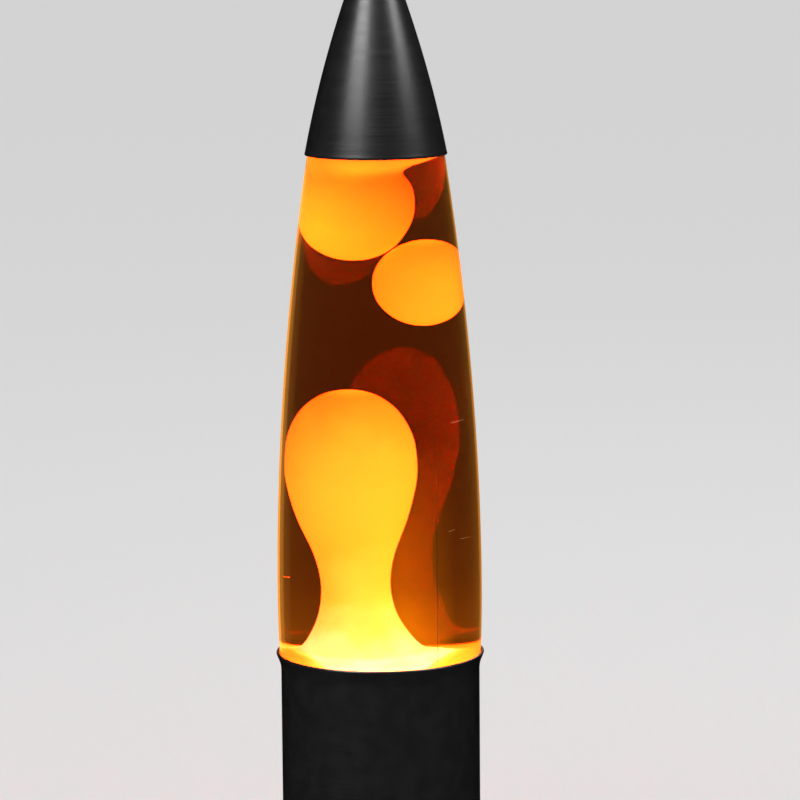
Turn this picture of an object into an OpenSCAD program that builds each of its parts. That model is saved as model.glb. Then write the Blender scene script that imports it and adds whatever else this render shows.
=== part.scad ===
// Lava lamp: a metal base with a reflector bulb, a glass bottle of liquid and wax, and a cone cap.
// Origin: the centre of the footprint, on the surface that the lamp stands on. +Z is up, +Y is the back.

/* [Overall] */
// Height of the whole lamp, from the feet to the top of the cap
lamp_h = 368; // [364:1:376]
// Height of the base's rim
rim_h = 117; // [116:0.5:118]
// Height of the cap's lower edge
cap_edge_h = 302; // [301:0.5:304]

/* [Bottle] */
// Greatest diameter of the bottle
bottle_d = 76; // [75.6:0.1:76.2]
// Height of the bottle's widest place
belly_h = 140; // [138:1:142]
// Diameter of the bottle where it enters the cap
shoulder_d = 50.4; // [50:0.1:50.6]
// Thickness of the bottle's wall
glass_t = 2.5; // [2:0.1:2.8]
// Height of the bottle's standing ring above the surface
bottle_floor_h = 95; // [94.5:0.5:96]

/* [Cap] */
// Diameter of the cap at its lower edge
cap_d = 52.4; // [52.2:0.1:53]
// Thickness of the spun metal of the cap
cap_t = 0.6; // [0.5:0.1:0.7]

/* [Base] */
// Diameter of the straight upper sleeve
sleeve_d = 74; // [73.6:0.1:74.2]
// Diameter across the lip that surrounds the bottle
lip_d = 77.4; // [77.2:0.1:78]
// Diameter of the base at the bottom
foot_d = 92; // [90:1:98]
// Thickness of the spun metal of the base
shell_t = 0.8; // [0.6:0.1:0.9]
// Height of the rubber feet
feet_h = 3; // [2.5:0.5:3.5]

/* [Wax] */
// Diameter of the column's head
head_d = 37.4; // [34:0.2:38]
// Diameter of the column's waist
waist_d = 19; // [16:0.5:22]
// Diameter of the round blob
round_blob_d = 29; // [26:0.2:29.4]
// Diameter of the large blob near the top
top_blob_d = 33; // [30:0.2:33]
// Distance that the floating blobs sink
blob_travel = 20; // [5:1:20]

/* [Bulb] */
// Diameter of the reflector bulb
bulb_d = 39; // [37:0.5:40]
// Diameter over the thread of the bulb's screw shell
bulb_thread_d = 16.6; // [16.2:0.1:16.8]
// Height of the top of the bulb
bulb_top_h = 85; // [83:1:87]

/* [Hidden] */
$fn = 96;
eps = 0.01;

// --- Outlines that several pieces share -------------------------------------------------------

// Gap that keeps wax, liquid and glass apart
soft_gap = 0.3;

belly_r = bottle_d / 2;
shoulder_r = shoulder_d / 2;
finish_r = 13.3;
finish_h = 326;
neck_top_h = 338;
heel_top_r = 31.5;
heel_top_h = bottle_floor_h + 5;
heel_corner = 4;
rim_glass_r = belly_r - 0.5;

// Outer radius of the bottle at height z, from its heel to its mouth
function belly_curve(z) =
    belly_r - (belly_r - shoulder_r) * pow((z - belly_h) / (cap_edge_h - belly_h), 1.92);
function tuck_curve(z) = belly_r - 0.5 * pow((belly_h - z) / (belly_h - rim_h), 2);
function heel_line(z) =
    rim_glass_r - (rim_glass_r - heel_top_r) * (rim_h - z) / (rim_h - heel_top_h);
function neck_curve(z) =
    let (u = (z - cap_edge_h) / (finish_h - cap_edge_h))
    shoulder_r - (shoulder_r - finish_r) * (0.7 * u + 0.3 * u * u);
function bottle_r(z) =
    z > finish_h ? finish_r
    : z > cap_edge_h ? neck_curve(z)
    : z > belly_h ? belly_curve(z)
    : z > rim_h ? tuck_curve(z)
    : heel_line(z);
function cavity_r(z) = bottle_r(z) - glass_t;

// Heights at which the bottle's outline has a point
heel_zs = [for (i = [0:2]) heel_top_h + (rim_h - heel_top_h) * i / 3];
tuck_zs = [for (i = [0:3]) rim_h + (belly_h - rim_h) * i / 4];
belly_zs = [for (i = [0:19]) belly_h + (cap_edge_h - belly_h) * i / 20];
neck_zs = [for (i = [0:7]) cap_edge_h + (finish_h - cap_edge_h) * i / 8];
bottle_zs = concat(heel_zs, tuck_zs, belly_zs, neck_zs, [finish_h]);

cavity_floor_h = bottle_floor_h + 6.5;
cavity_corner_h = bottle_floor_h + 4;
cavity_corner_r = 26;
cavity_zs = [for (z = bottle_zs) if (z >= cavity_floor_h) z];
liquid_top_h = 318;

// Ellipsoid of revolution with its axis upright
module upright_ellipsoid(r, half_h, steps = 24) {
    rotate_extrude()
        polygon([for (i = [0:steps]) let (a = -90 + 180 * i / steps) [r * cos(a), half_h * sin(a)]]);
}

// Upright ring with a rectangular section
module ring(outer_r, inner_r, z_low, z_high) {
    translate([0, 0, z_low])
        difference() {
            cylinder(r = outer_r, h = z_high - z_low);
            translate([0, 0, -1])
                cylinder(r = inner_r, h = z_high - z_low + 2);
        }
}

// Screw with a round head below z = 0 and a plain shank above it
module screw(head_r, head_h, shank_r, shank_h) {
    difference() {
        translate([0, 0, -head_h])
            cylinder(r = head_r, h = head_h);
        translate([-head_r, -0.3, -head_h - eps])
            cube([2 * head_r, 0.6, 0.5]);
        translate([-0.3, -head_r, -head_h - eps])
            cube([0.6, 2 * head_r, 0.5]);
    }
    translate([0, 0, -eps])
        cylinder(r = shank_r, h = shank_h + eps);
}

// --- Base -------------------------------------------------------------------------------------

sleeve_r = sleeve_d / 2;
lip_r = lip_d / 2;
foot_r = foot_d / 2;
plate_t = 1;
flange_h = feet_h + plate_t;
flange_inner_r = foot_r - 7.5;
lip_foot_h = rim_h - 7;
skirt_top_h = 62;
skirt_steps = 14;

// Outer radius of the flared skirt, which runs into the straight sleeve
function skirt_r(z) =
    sleeve_r + (foot_r - sleeve_r) * pow((skirt_top_h - z) / (skirt_top_h - flange_h), 2);
skirt_zs = [for (i = [0:skirt_steps]) flange_h + (skirt_top_h - flange_h) * i / skirt_steps];

// The cord's inlet sits square to the sloping wall at the back of the skirt
inlet_h = 15;
inlet_r = 5;
inlet_slope = 2 * (foot_r - sleeve_r) * (skirt_top_h - inlet_h) / pow(skirt_top_h - flange_h, 2);
inlet_tilt = atan(inlet_slope);
module at_inlet() {
    translate([0, skirt_r(inlet_h), inlet_h])
        rotate([inlet_tilt - 90, 0, 0])
            children();
}

screw_ring_r = foot_r - 4.6;
screw_shank_r = 1.4;
plate_screw_angles = [30, 150, 270];
foot_ring_r = foot_r - 11;
foot_angles = [45, 135, 225, 315];

module base_outline() {
    outer = concat(
        [for (z = skirt_zs) [skirt_r(z), z]],
        [[sleeve_r, lip_foot_h], [lip_r - 0.2, rim_h - 1.2], [lip_r, rim_h - 0.8], [lip_r, rim_h - 0.2],
         [lip_r - 0.2, rim_h]]);
    inner = concat(
        [[lip_r - shell_t, rim_h], [lip_r - shell_t, rim_h - 1], [sleeve_r - shell_t, lip_foot_h]],
        [for (i = [skirt_steps:-1:1]) [skirt_r(skirt_zs[i]) - shell_t, skirt_zs[i]]],
        [[skirt_r(flange_h + shell_t) - shell_t, flange_h + shell_t]]);
    flange = [[flange_inner_r, flange_h + shell_t], [flange_inner_r, flange_h]];
    polygon(concat(outer, inner, flange));
}

module base_shell() {
    color("#16161a")
        difference() {
            rotate_extrude()
                base_outline();
            for (a = plate_screw_angles)
                rotate([0, 0, a])
                    translate([screw_ring_r, 0, flange_h - 1])
                        cylinder(r = screw_shank_r, h = shell_t + 2, $fn = 32);
            at_inlet()
                translate([0, 0, -6])
                    cylinder(r = inlet_r, h = 12);
        }
}

bracket_screw_x = 19;
slot_count = 10;

module bottom_plate() {
    color("#2a2a2c")
        difference() {
            translate([0, 0, feet_h])
                cylinder(r = foot_r - 0.8, h = plate_t);
            for (a = plate_screw_angles)
                rotate([0, 0, a])
                    translate([screw_ring_r, 0, feet_h - 1])
                        cylinder(r = screw_shank_r, h = plate_t + 2, $fn = 32);
            for (x = [-bracket_screw_x, bracket_screw_x])
                translate([x, 0, feet_h - 1])
                    cylinder(r = screw_shank_r, h = plate_t + 2, $fn = 32);
            for (i = [0:slot_count - 1])
                rotate([0, 0, 18 + 36 * i])
                    translate([24, -1.5, feet_h - 1])
                        cube([5, 3, plate_t + 2]);
        }
}

module plate_screws() {
    color("silver")
        for (a = plate_screw_angles)
            rotate([0, 0, a])
                translate([screw_ring_r, 0, feet_h])
                    screw(2.4, 1.5, screw_shank_r, 6, $fn = 32);
}

module rubber_feet() {
    color("#101010")
        for (a = foot_angles)
            rotate([0, 0, a])
                translate([foot_ring_r, 0, 0]) {
                    cylinder(r1 = 5.2, r2 = 6, h = 1);
                    translate([0, 0, 1])
                        cylinder(r = 6, h = feet_h - 1);
                }
}

// Flanged grommet with the hole that the cord passes through
inlet_bore_r = 3.2;
inlet_inner_h = 3.4;
inlet_outer_h = 1.6;

module cord_inlet() {
    color("#1a1a1a")
        at_inlet()
            difference() {
                union() {
                    translate([0, 0, -inlet_inner_h])
                        cylinder(r = inlet_r, h = inlet_inner_h + inlet_outer_h);
                    translate([0, 0, 0.2])
                        cylinder(r = inlet_r + 1.2, h = inlet_outer_h - 0.2);
                    translate([0, 0, -inlet_inner_h])
                        cylinder(r = inlet_r + 1.2, h = 1.8);
                }
                translate([0, 0, -6])
                    cylinder(r = inlet_bore_r, h = 12);
            }
}

// --- Bottle seat ------------------------------------------------------------------------------

seat_inner_r = 23.5;
gasket_t = 1;
seat_top_h = bottle_floor_h - gasket_t;
seat_skirt_h = 9;

module bottle_seat() {
    color("#8b8d90") {
        ring(sleeve_r - shell_t, seat_inner_r, seat_top_h - 1, seat_top_h);
        ring(sleeve_r - shell_t, sleeve_r - shell_t - 1, seat_top_h - seat_skirt_h, seat_top_h - 1 + eps);
    }
}

module seat_gasket() {
    color("#b8a58a")
        ring(30, seat_inner_r, seat_top_h, bottle_floor_h);
}

// --- Lampholder -------------------------------------------------------------------------------

holder_foot_h = flange_h + 9;
holder_h = 28;
holder_r = 13;
thread_r = bulb_thread_d / 2;
shell_inner_r = thread_r + 0.3;
shell_outer_r = shell_inner_r + 0.4;
holder_floor_h = holder_foot_h + 3;
holder_top_h = holder_foot_h + holder_h;
bulb_contact_h = holder_floor_h + 3;

module holder_bracket() {
    color("#9a9c9f")
        difference() {
            union() {
                translate([-15, -8, holder_foot_h - 1])
                    cube([30, 16, 1]);
                for (s = [-1, 1]) {
                    translate([s * 14.5 - 0.5, -8, flange_h])
                        cube([1, 16, holder_foot_h - flange_h]);
                    translate([s * 19 - 5, -8, flange_h])
                        cube([10, 16, 1]);
                }
            }
            for (x = [-bracket_screw_x, bracket_screw_x])
                translate([x, 0, flange_h - 1])
                    cylinder(r = screw_shank_r, h = 3, $fn = 32);
        }
}

module bracket_screws() {
    color("silver")
        for (x = [-bracket_screw_x, bracket_screw_x])
            translate([x, 0, feet_h])
                screw(2.4, 1.5, screw_shank_r, 5, $fn = 32);
}

module holder_body() {
    color("#26201c")
        difference() {
            translate([0, 0, holder_foot_h])
                cylinder(r = holder_r, h = holder_h);
            translate([0, 0, holder_floor_h])
                cylinder(r = shell_outer_r, h = holder_h);
            for (a = [0, 180])
                rotate([0, 0, a])
                    translate([holder_r - 2.5, -2, holder_foot_h + 4])
                        cube([5, 4, 8]);
        }
}

module holder_screw_shell() {
    color("goldenrod")
        ring(shell_outer_r, shell_inner_r, holder_floor_h + 5, holder_top_h - 2);
}

// Sprung leaf that presses on the bulb's contact
module holder_contact() {
    color("goldenrod") {
        translate([-5, -2, holder_floor_h])
            cube([10, 4, 0.6]);
        translate([-1.5, -1.5, holder_floor_h + 0.6 - eps])
            cube([3, 3, bulb_contact_h - holder_floor_h - 0.6 - 0.05]);
    }
}

module terminal_screws() {
    color("gold")
        for (a = [0, 180])
            rotate([0, 0, a])
                translate([holder_r - 2.5, 0, holder_foot_h + 8])
                    rotate([0, 90, 0])
                        cylinder(r = 1.8, h = 1.8, $fn = 32);
}

// --- Bulb -------------------------------------------------------------------------------------

bulb_r = bulb_d / 2;
bulb_neck_r = 7.9;
bulb_neck_h = holder_top_h - 1.5;
bulb_wide_h = 67;
bulb_t = 0.7;

function bulb_side_r(z) =
    let (u = (z - bulb_neck_h) / (bulb_wide_h - bulb_neck_h))
    bulb_neck_r + (bulb_r - bulb_neck_r) * (1 - cos(180 * u)) / 2;
function bulb_side(inset) =
    [for (i = [0:12]) let (z = bulb_neck_h + (bulb_wide_h - bulb_neck_h) * i / 12)
        [bulb_side_r(z) - inset, z]];
function bulb_dome(inset) =
    [for (i = [1:10]) let (a = 9 * i)
        [(bulb_r - inset) * cos(a), bulb_wide_h + (bulb_top_h - bulb_wide_h - inset) * sin(a)]];
function reversed(points) = [for (i = [len(points) - 1:-1:0]) points[i]];

module bulb_glass() {
    color("#e8e2d8")
        rotate_extrude()
            polygon(concat(bulb_side(0), bulb_dome(0), reversed(bulb_dome(bulb_t)),
                           reversed(bulb_side(bulb_t))));
}

ridge_pitch = 2.8;
shell_low_h = bulb_contact_h + 3;
ridge_count = 6;

// Thin metal sleeve with rounded ridges where the thread is
module bulb_screw_shell() {
    crest = [for (i = [0:ridge_count * 6]) let (z = shell_low_h + ridge_pitch * i / 6)
        [thread_r - 0.5 + 0.5 * cos(60 * i + 180), z]];
    top_z = shell_low_h + ridge_pitch * ridge_count;
    color("#c9c6bd")
        rotate_extrude()
            polygon(concat(crest,
                [[bulb_neck_r + 0.3, top_z + 1], [bulb_neck_r + 0.3, bulb_neck_h + 3],
                 [bulb_side_r(bulb_neck_h + 3), bulb_neck_h + 3], [bulb_neck_r, bulb_neck_h],
                 [thread_r - 1.5, bulb_neck_h], [thread_r - 1.5, shell_low_h]]));
}

module bulb_insulator() {
    color("#141414")
        translate([0, 0, bulb_contact_h + 0.6])
            difference() {
                cylinder(r1 = 4, r2 = thread_r - 1.6, h = shell_low_h - bulb_contact_h - 0.6);
                translate([0, 0, -1])
                    cylinder(r = 2, h = 1.6);
            }
}

module bulb_contact() {
    color("#b9b4a6")
        translate([0, 0, bulb_contact_h]) {
            cylinder(r1 = 1.6, r2 = 2.6, h = 0.6);
            translate([0, 0, 0.6 - eps])
                cylinder(r = 2, h = 0.6);
        }
}

stem_top_h = bulb_neck_h + 14;
filament_h = bulb_wide_h - 4;
lead_x = 5;

module bulb_stem() {
    color("#dfe6e6")
        translate([0, 0, bulb_neck_h])
            difference() {
                union() {
                    cylinder(r1 = bulb_neck_r - bulb_t - 0.3, r2 = 2.2, h = 5);
                    translate([0, 0, 5 - eps])
                        cylinder(r = 2.2, h = stem_top_h - bulb_neck_h - 5);
                }
                translate([0, 0, -1])
                    cylinder(r = 1.2, h = 3);
            }
}

// Two support wires with a bowed filament between them
module bulb_filament() {
    lead_h = filament_h - stem_top_h;
    lean = atan(lead_x / lead_h);
    color("#6d6d70") {
        for (s = [-1, 1])
            translate([0, 0, stem_top_h + 0.1])
                rotate([0, s * lean, 0])
                    cylinder(r = 0.3, h = lead_h / cos(lean), $fn = 16);
        translate([-lead_x, 0, filament_h])
            rotate([0, 90, 0])
                cylinder(r = 0.6, h = 2 * lead_x, $fn = 16);
    }
}

// --- Bottle and what it holds -----------------------------------------------------------------

module bottle_glass() {
    heel = [for (i = [0:5]) let (a = -90 + 14 * i)
        [heel_top_r - heel_corner + heel_corner * cos(a), bottle_floor_h + heel_corner * (1 + sin(a))]];
    outer = [for (z = bottle_zs) [bottle_r(z), z]];
    inner = [for (i = [len(cavity_zs) - 1:-1:0]) [cavity_r(cavity_zs[i]), cavity_zs[i]]];
    finish = [[finish_r, neck_top_h - 0.6], [finish_r - 0.6, neck_top_h],
              [finish_r - glass_t, neck_top_h]];
    cavity_floor = [[cavity_r(cavity_floor_h), cavity_floor_h], [cavity_corner_r, cavity_corner_h],
                    [0, cavity_corner_h + 2]];
    punt = [[0, bottle_floor_h + 3], [20, bottle_floor_h + 0.6], [22, bottle_floor_h]];
    color("#d8e4e0", 0.35)
        rotate_extrude()
            polygon(concat(heel, outer, finish, inner, cavity_floor, punt));
}

wax_level_h = rim_h - 2;
column_x = -7.5;
waist_h = 145;
head_h = 188;
column_top_h = 216;

// Radius of the column at height z: a flared foot, a waist and a round head
function column_r(z) =
    z < waist_h ? waist_d / 2 + 14 * pow((waist_h - z) / (waist_h - wax_level_h), 3)
    : z < head_h ? waist_d / 2
        + (head_d - waist_d) / 2 * (1 - cos(180 * (z - waist_h) / (head_h - waist_h))) / 2
    : head_d / 2 * sqrt(max(0, 1 - pow((z - head_h) / (column_top_h - head_h), 2)));

module column_solid(grow = 0) {
    foot = [for (i = [0:7]) wax_level_h + (waist_h - wax_level_h) * i / 8];
    body = [for (i = [0:11]) waist_h + (head_h - waist_h) * i / 12];
    dome = [for (i = [1:9]) let (a = 10 * i - 5)
        [head_d / 2 * cos(a) + grow, head_h + (column_top_h - head_h + grow) * sin(a)]];
    translate([column_x, 0, 0])
        rotate_extrude()
            polygon(concat([[0, wax_level_h - 1]], [[column_r(wax_level_h) + grow, wax_level_h - 1]],
                [for (z = concat(foot, body)) [column_r(z) + grow, z]],
                [[head_d / 2 + grow, head_h]], dome, [[0, column_top_h + grow]]));
}

pool_zs = [for (z = cavity_zs) if (z > cavity_floor_h && z < wax_level_h) z];

coil_ring_r = 21;
coil_r = 2.6;
coil_h = bottle_floor_h + 8.6;

module pool_solid() {
    side = [for (z = concat([cavity_floor_h + 0.4], pool_zs, [wax_level_h])) [cavity_r(z) - soft_gap, z]];
    rotate_extrude()
        polygon(concat([[0, cavity_corner_h + 2.4], [cavity_corner_r - 1, cavity_corner_h + 0.5]], side,
                       [[0, wax_level_h]]));
}

module wax_column() {
    color("#ffb21e")
        difference() {
            union() {
                pool_solid();
                column_solid();
            }
            translate([0, 0, coil_h])
                rotate_extrude()
                    translate([coil_ring_r, 0])
                        circle(r = coil_r + 0.8, $fn = 32);
        }
}

// Closed coil spring lying in a ring on the floor of the bottle
coil_turns = 24;
coil_points = 8;
coil_sides = 6;
coil_wire_r = 0.5;

function coil_centre(t) =
    let (a = 360 * t, b = 360 * coil_turns * t, r = coil_ring_r + coil_r * cos(b))
    [r * cos(a), r * sin(a), coil_h + coil_r * sin(b)];
function unit(v) = v / norm(v);
function coil_section(t) =
    let (c = coil_centre(t), tangent = unit(coil_centre(t + 0.0005) - coil_centre(t - 0.0005)),
         hub = [coil_ring_r * cos(360 * t), coil_ring_r * sin(360 * t), coil_h],
         u = unit(c - hub), v = cross(tangent, u))
    [for (j = [0:coil_sides - 1]) let (a = 360 * j / coil_sides)
        c + coil_wire_r * (cos(a) * u + sin(a) * v)];

module heat_coil() {
    rings = coil_turns * coil_points;
    points = [for (i = [0:rings - 1]) each coil_section(i / rings)];
    faces = [for (i = [0:rings - 1], j = [0:coil_sides - 1])
        let (n = (i + 1) % rings, k = (j + 1) % coil_sides)
        [i * coil_sides + j, n * coil_sides + j, n * coil_sides + k, i * coil_sides + k]];
    color("silver")
        polyhedron(points = points, faces = faces);
}

round_blob = [13.2, 0, 254.5];
round_blob_half_h = 15.6;
top_blob = [-6.4, 0, 284.4];
top_blob_half_h = 21.4;
top_join_h = 294;

module round_blob_solid(grow = 0) {
    translate(round_blob)
        upright_ellipsoid(round_blob_d / 2 + grow, round_blob_half_h + grow);
}

module top_blob_solid(grow = 0) {
    intersection() {
        translate(top_blob)
            upright_ellipsoid(top_blob_d / 2 + grow, top_blob_half_h + grow);
        translate([-40, -40, top_join_h - 60])
            cube([80, 80, 60 + grow]);
    }
}

module wax_round_blob() {
    color("#ff9a1c")
        round_blob_solid();
}

module wax_top_blob() {
    color("#ff9a1c")
        top_blob_solid();
}

top_mass = [-1, 0, 306];
top_mass_r = 18.2;
top_mass_half_h = 9;

module top_mass_solid(grow = 0) {
    translate(top_mass)
        upright_ellipsoid(top_mass_r + grow, top_mass_half_h + grow);
    translate([top_blob.x, 0, top_join_h + soft_gap - grow])
        cylinder(r = 11.5 + grow, h = top_mass.z - top_join_h);
}

module wax_top_mass() {
    color("#ff9a1c")
        top_mass_solid();
}

// The liquid leaves room for the wax, and for the whole travel of the floating blobs
module bottle_liquid() {
    liquid_low_h = wax_level_h + soft_gap;
    liquid_zs = [for (z = cavity_zs) if (z > liquid_low_h && z < liquid_top_h) z];
    side = [for (z = concat([liquid_low_h], liquid_zs, [liquid_top_h])) [cavity_r(z) - soft_gap, z]];
    color("#5a1408", 0.6)
        difference() {
            rotate_extrude()
                polygon(concat([[0, liquid_low_h]], side, [[0, liquid_top_h]]));
            column_solid(soft_gap);
            top_mass_solid(soft_gap);
            for (drop = [0:blob_travel / 4:blob_travel])
                translate([0, 0, -drop]) {
                    round_blob_solid(soft_gap);
                    top_blob_solid(soft_gap);
                }
            translate(round_blob - [0, 0, blob_travel])
                cylinder(r = round_blob_d / 2 + soft_gap, h = blob_travel);
            translate(top_blob - [0, 0, blob_travel])
                cylinder(r = top_blob_d / 2 + soft_gap, h = blob_travel + top_join_h - top_blob.z);
        }
}

crown_r = 14.6;
crown_low_h = neck_top_h - 5.5;
liner_t = 0.8;
crown_top_h = neck_top_h + liner_t + 0.4;
flute_count = 21;

// Pressed closure with a fluted skirt
module crown_cap() {
    color("#c8a24a")
        difference() {
            union() {
                translate([0, 0, crown_low_h])
                    cylinder(r1 = crown_r, r2 = finish_r + 0.5, h = crown_top_h - crown_low_h - 0.6);
                translate([0, 0, crown_top_h - 0.6 - eps])
                    cylinder(r1 = finish_r + 0.5, r2 = finish_r - 0.6, h = 0.6 + eps);
            }
            translate([0, 0, crown_low_h - 1])
                cylinder(r = finish_r, h = neck_top_h + liner_t - crown_low_h + 1);
            for (i = [0:flute_count - 1])
                rotate([0, 0, 360 * i / flute_count])
                    translate([crown_r + 0.55, 0, crown_low_h - 1])
                        cylinder(r = 1, h = 4, $fn = 16);
        }
}

module crown_liner() {
    color("#e9e4da")
        translate([0, 0, neck_top_h])
            cylinder(r = finish_r - 0.4, h = liner_t);
}

// --- Cap --------------------------------------------------------------------------------------

cap_r = cap_d / 2;
cap_corner = 2;
cap_tip_r = 8.6;
cap_wall_top_h = lamp_h - cap_corner;
cap_slope = 0.19;

// Radius of the cap at height z: it curves inwards more and more
function cap_outer_r(z) =
    let (u = z - cap_edge_h, full = cap_wall_top_h - cap_edge_h,
         bow = (cap_r - cap_slope * full - cap_tip_r) / pow(full, 2))
    cap_r - cap_slope * u - bow * u * u;

module top_cap() {
    steps = 14;
    zs = [for (i = [0:steps]) cap_edge_h + (cap_wall_top_h - cap_edge_h) * i / steps];
    outer = [for (z = zs) [cap_outer_r(z), z]];
    corner = [for (i = [1:6]) let (a = 15 * i)
        [cap_tip_r - cap_corner + cap_corner * cos(a), cap_wall_top_h + cap_corner * sin(a)]];
    inner = [for (i = [steps:-1:0]) [cap_outer_r(zs[i]) - cap_t, zs[i]]];
    color("#16161a")
        rotate_extrude()
            polygon(concat(outer, corner, [[0, lamp_h], [0, lamp_h - cap_t]],
                           [[cap_tip_r - cap_corner, lamp_h - cap_t]], inner));
}

// --- Assembly ---------------------------------------------------------------------------------

base_shell();
bottom_plate();
plate_screws();
rubber_feet();
cord_inlet();
bottle_seat();
seat_gasket();
holder_bracket();
bracket_screws();
holder_body();
holder_screw_shell();
holder_contact();
terminal_screws();
bulb_glass();
bulb_screw_shell();
bulb_insulator();
bulb_contact();
bulb_stem();
bulb_filament();
bottle_glass();
bottle_liquid();
heat_coil();
wax_column();
wax_top_mass();
crown_cap();
crown_liner();
wax_round_blob();
wax_top_blob();
top_cap();
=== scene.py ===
import math
import random

import bpy
from mathutils import Matrix, Vector

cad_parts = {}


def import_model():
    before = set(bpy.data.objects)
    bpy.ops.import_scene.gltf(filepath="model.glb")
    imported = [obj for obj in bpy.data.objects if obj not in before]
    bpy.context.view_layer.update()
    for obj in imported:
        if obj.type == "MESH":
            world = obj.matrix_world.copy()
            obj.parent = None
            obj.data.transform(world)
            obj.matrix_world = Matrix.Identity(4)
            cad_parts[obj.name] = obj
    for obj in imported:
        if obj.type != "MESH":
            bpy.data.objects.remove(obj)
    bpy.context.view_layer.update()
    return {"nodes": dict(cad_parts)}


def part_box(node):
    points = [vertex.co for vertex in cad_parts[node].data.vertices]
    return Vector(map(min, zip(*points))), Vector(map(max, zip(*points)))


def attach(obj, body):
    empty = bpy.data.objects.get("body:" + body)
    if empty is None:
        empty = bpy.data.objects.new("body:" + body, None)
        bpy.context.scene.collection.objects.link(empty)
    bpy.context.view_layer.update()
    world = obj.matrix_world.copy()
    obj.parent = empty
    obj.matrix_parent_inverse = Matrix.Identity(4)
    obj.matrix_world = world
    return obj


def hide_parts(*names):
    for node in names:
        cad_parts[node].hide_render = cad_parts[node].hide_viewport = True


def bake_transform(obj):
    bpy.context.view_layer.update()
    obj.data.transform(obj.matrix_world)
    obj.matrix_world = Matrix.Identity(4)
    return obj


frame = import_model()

MM = 0.001
SIDES = 160


# ---- Sizes, from the frame ---------------------------------------------------------------------

def low(node):
    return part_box(node)[0]


def high(node):
    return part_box(node)[1]


RIM_Z = high("base_shell")[2]
FOOT_Z = low("base_shell")[2]
FOOT_R = high("base_shell")[0]
SLEEVE_R = high("bottle_seat")[0] + 0.8 * MM
LIP_R = SLEEVE_R + 1.7 * MM
CAP_EDGE_Z = low("top_cap")[2]
CAP_TOP_Z = high("top_cap")[2]
CAP_R = high("top_cap")[0]
BOTTLE_R = high("bottle_glass")[0]
BOTTLE_FLOOR_Z = low("bottle_glass")[2]
MOUTH_Z = high("bottle_glass")[2]
WAX_LEVEL_Z = low("bottle_liquid")[2]
LIQUID_TOP_Z = high("bottle_liquid")[2]

BELLY_Z = RIM_Z + 23 * MM
SHOULDER_R = 25.2 * MM
FINISH_R = 13.3 * MM
FINISH_Z = MOUTH_Z - 12 * MM
GLASS_T = 2.5 * MM


def bottle_r(z):
    """Outer radius of the bottle at height z."""
    if z > FINISH_Z:
        return FINISH_R
    if z > CAP_EDGE_Z:
        u = (z - CAP_EDGE_Z) / (FINISH_Z - CAP_EDGE_Z)
        return SHOULDER_R - (SHOULDER_R - FINISH_R) * (0.7 * u + 0.3 * u * u)
    if z > BELLY_Z:
        u = (z - BELLY_Z) / (CAP_EDGE_Z - BELLY_Z)
        return BOTTLE_R - (BOTTLE_R - SHOULDER_R) * u ** 1.92
    if z > RIM_Z:
        return BOTTLE_R - 0.5 * MM * ((BELLY_Z - z) / (BELLY_Z - RIM_Z)) ** 2
    heel_z = BOTTLE_FLOOR_Z + 5 * MM
    u = (RIM_Z - z) / (RIM_Z - heel_z)
    return BOTTLE_R - 0.5 * MM - 6 * MM * u


def cavity_r(z):
    return bottle_r(z) - GLASS_T


def steps(a, b, count):
    return [a + (b - a) * i / count for i in range(count + 1)]


# ---- Mesh helpers ------------------------------------------------------------------------------

def new_object(name, vertices, faces, angle=35):
    mesh = bpy.data.meshes.new(name)
    mesh.from_pydata(vertices, [], faces)
    mesh.validate()
    mesh.shade_smooth()
    mesh.set_sharp_from_angle(angle=math.radians(angle))
    obj = bpy.data.objects.new(name, mesh)
    bpy.context.collection.objects.link(obj)
    return obj


def loft_mesh(rings, closed=False):
    """Vertices and faces of a skin over rings of points. A ring of one point is a pole."""
    vertices, starts, faces = [], [], []
    for points in rings:
        starts.append(len(vertices))
        vertices += points
    pairs = list(zip(range(len(rings) - 1), range(1, len(rings))))
    if closed:
        pairs.append((len(rings) - 1, 0))
    for a, b in pairs:
        count = max(len(rings[a]), len(rings[b]))
        for i in range(count):
            j = (i + 1) % count
            if len(rings[a]) == 1 and len(rings[b]) == 1:
                continue
            if len(rings[a]) == 1:
                faces.append((starts[a], starts[b] + j, starts[b] + i))
            elif len(rings[b]) == 1:
                faces.append((starts[a] + i, starts[a] + j, starts[b]))
            else:
                faces.append((starts[a] + i, starts[a] + j, starts[b] + j, starts[b] + i))
    return vertices, faces


def join(*parts):
    """Puts several (vertices, faces) meshes into one."""
    vertices, faces = [], []
    for part_vertices, part_faces in parts:
        start = len(vertices)
        vertices += part_vertices
        faces += [tuple(i + start for i in face) for face in part_faces]
    return vertices, faces


def placed(part, matrix):
    vertices, faces = part
    return [tuple(matrix @ Vector(v)) for v in vertices], faces


def ring(r, z, cx=0.0, cy=0.0, sides=SIDES, shape=None):
    """A level ring of points. Where shape is given, shape(angle) is added to the radius."""
    if r < 1e-7:
        return [(cx, cy, z)]
    points = []
    for i in range(sides):
        a = 2 * math.pi * i / sides
        radius = r + (shape(a) if shape else 0)
        points.append((cx + radius * math.cos(a), cy + radius * math.sin(a), z))
    return points


def turned(outline, closed=True, sides=SIDES):
    """Turns an outline of (radius, height) points, anticlockwise, about the Z axis."""
    return loft_mesh([ring(r, z, sides=sides) for r, z in outline], closed)


def arc(cx, cz, r, start, end, count=6):
    """Points of (radius, height) along an arc, for an outline."""
    return [(cx + r * math.cos(math.radians(a)), cz + r * math.sin(math.radians(a)))
            for a in steps(start, end, count)]


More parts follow.
